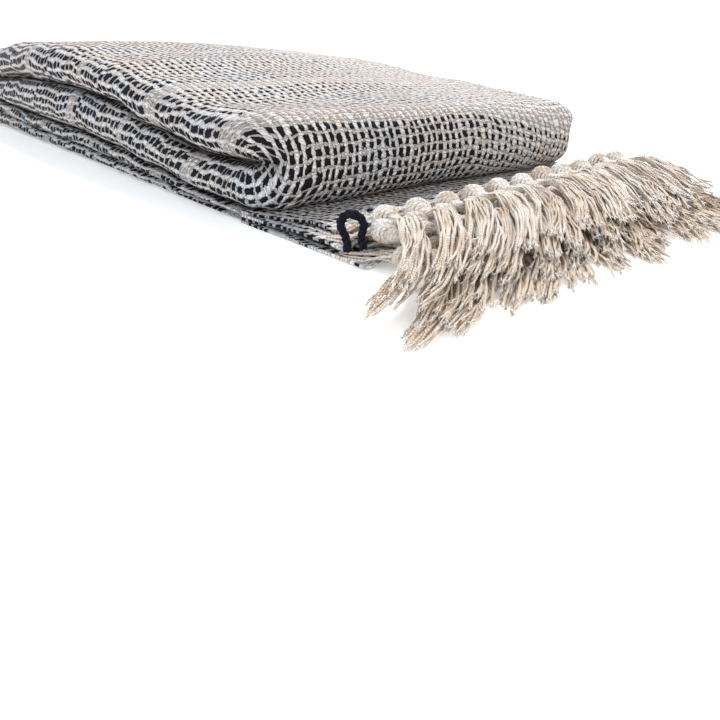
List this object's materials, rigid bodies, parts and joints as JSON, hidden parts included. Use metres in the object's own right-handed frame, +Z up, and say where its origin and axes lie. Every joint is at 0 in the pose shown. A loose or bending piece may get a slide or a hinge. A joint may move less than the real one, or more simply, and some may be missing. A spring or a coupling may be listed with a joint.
{
  "type": "folded fringed shawl",
  "caption": "Handwoven cotton shawl folded into a soft flat bundle, its knotted fringed ends laid out in front under a rounded front roll.",
  "frame": {"origin": "centre of the whole object's box, at the surface it lies on", "axes": "+Z up, +Y from the fringe to the back fold, +X along the front roll to its right end"},
  "size_m": [0.2482, 0.598, 0.0669],
  "materials": {
    "flecked_cotton": "matt open plain weave, cream with black weft flecks",
    "natural_cotton": "matt handwoven cotton",
    "cotton_yarn": "matt unbleached two-ply yarn",
    "black_yarn": "matt black yarn"
  },
  "bodies": {
    "root": {"top_stretch": "flecked_cotton", "hidden_layers": "natural_cotton", "lower_end": "flecked_cotton", "upper_end": "flecked_cotton", "selvage_loop": "black_yarn", "tassel_lower_front_01": "cotton_yarn", "tassel_lower_front_02": "cotton_yarn", "tassel_lower_front_03": "cotton_yarn", "tassel_lower_front_04": "cotton_yarn", "tassel_lower_front_05": "cotton_yarn", "tassel_lower_front_06": "cotton_yarn", "tassel_lower_front_07": "cotton_yarn", "tassel_lower_front_08": "cotton_yarn", "tassel_lower_front_09": "cotton_yarn", "tassel_lower_front_10": "cotton_yarn", "tassel_lower_front_11": "cotton_yarn", "tassel_lower_back_01": "cotton_yarn", "tassel_lower_back_02": "cotton_yarn", "tassel_lower_back_03": "cotton_yarn", "tassel_lower_back_04": "cotton_yarn", "tassel_lower_back_05": "cotton_yarn", "tassel_lower_back_06": "cotton_yarn", "tassel_lower_back_07": "cotton_yarn", "tassel_lower_back_08": "cotton_yarn", "tassel_lower_back_09": "cotton_yarn", "tassel_lower_back_10": "cotton_yarn", "tassel_lower_back_11": "cotton_yarn", "tassel_upper_front_01": "cotton_yarn", "tassel_upper_front_02": "cotton_yarn", "tassel_upper_front_03": "cotton_yarn", "tassel_upper_front_04": "cotton_yarn", "tassel_upper_front_05": "cotton_yarn", "tassel_upper_front_06": "cotton_yarn", "tassel_upper_front_07": "cotton_yarn", "tassel_upper_front_08": "cotton_yarn", "tassel_upper_front_09": "cotton_yarn", "tassel_upper_front_10": "cotton_yarn", "tassel_upper_front_11": "cotton_yarn", "tassel_upper_back_01": "cotton_yarn", "tassel_upper_back_02": "cotton_yarn", "tassel_upper_back_03": "cotton_yarn", "tassel_upper_back_04": "cotton_yarn", "tassel_upper_back_05": "cotton_yarn", "tassel_upper_back_06": "cotton_yarn", "tassel_upper_back_07": "cotton_yarn", "tassel_upper_back_08": "cotton_yarn", "tassel_upper_back_09": "cotton_yarn", "tassel_upper_back_10": "cotton_yarn", "tassel_upper_back_11": "cotton_yarn"}
  },
  "joints": []
}
